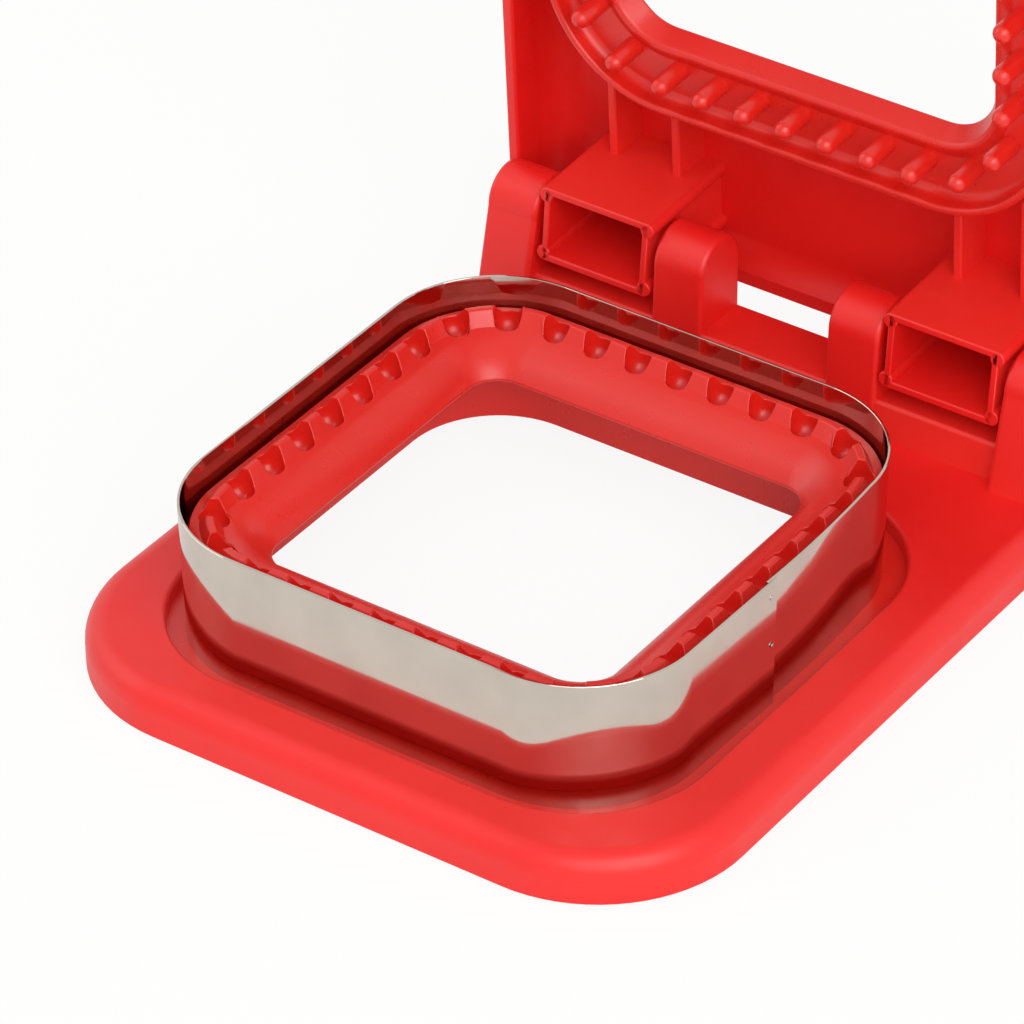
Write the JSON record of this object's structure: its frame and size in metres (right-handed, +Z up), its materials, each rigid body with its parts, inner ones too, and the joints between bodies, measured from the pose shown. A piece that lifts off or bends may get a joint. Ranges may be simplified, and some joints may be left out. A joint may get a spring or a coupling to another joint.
{
  "type": "sandwich cutter and sealer",
  "caption": "Hinged sandwich press: a square steel blade with a pocketed crimp ring on a red base, and a studded press ring in a windowed lid that cuts and seals bread.",
  "frame": {"origin": "on the table under the middle of the part, with the lid open as it rests", "axes": "+X to the right along the hinge, +Y from the front to the hinge, +Z up"},
  "size_m": [0.117, 0.1468, 0.1562],
  "materials": {
    "red_shell": "moulded red plastic with a fine satin grain",
    "red_ring": "moulded red plastic, smoother than the shell",
    "blade_steel": "rolled stainless strip with a satin face",
    "screw_steel": "zinc-plated self-tapping screws"
  },
  "bodies": {
    "base": {"base_tray": "red_shell", "crimp_ring": "red_ring", "blade_ring": "blade_steel", "crimp_screws": "screw_steel"},
    "lid": {"lid_shell": "red_shell", "press_ring": "red_ring", "press_screws": "screw_steel"}
  },
  "joints": [
    {"name": "lid_hinge", "type": "hinge", "parent": "base", "child": "lid", "pos_m": [0, 0.05467, 0.0248], "axis": [1, 0, 0], "range_deg": [-15, 87]}
  ]
}
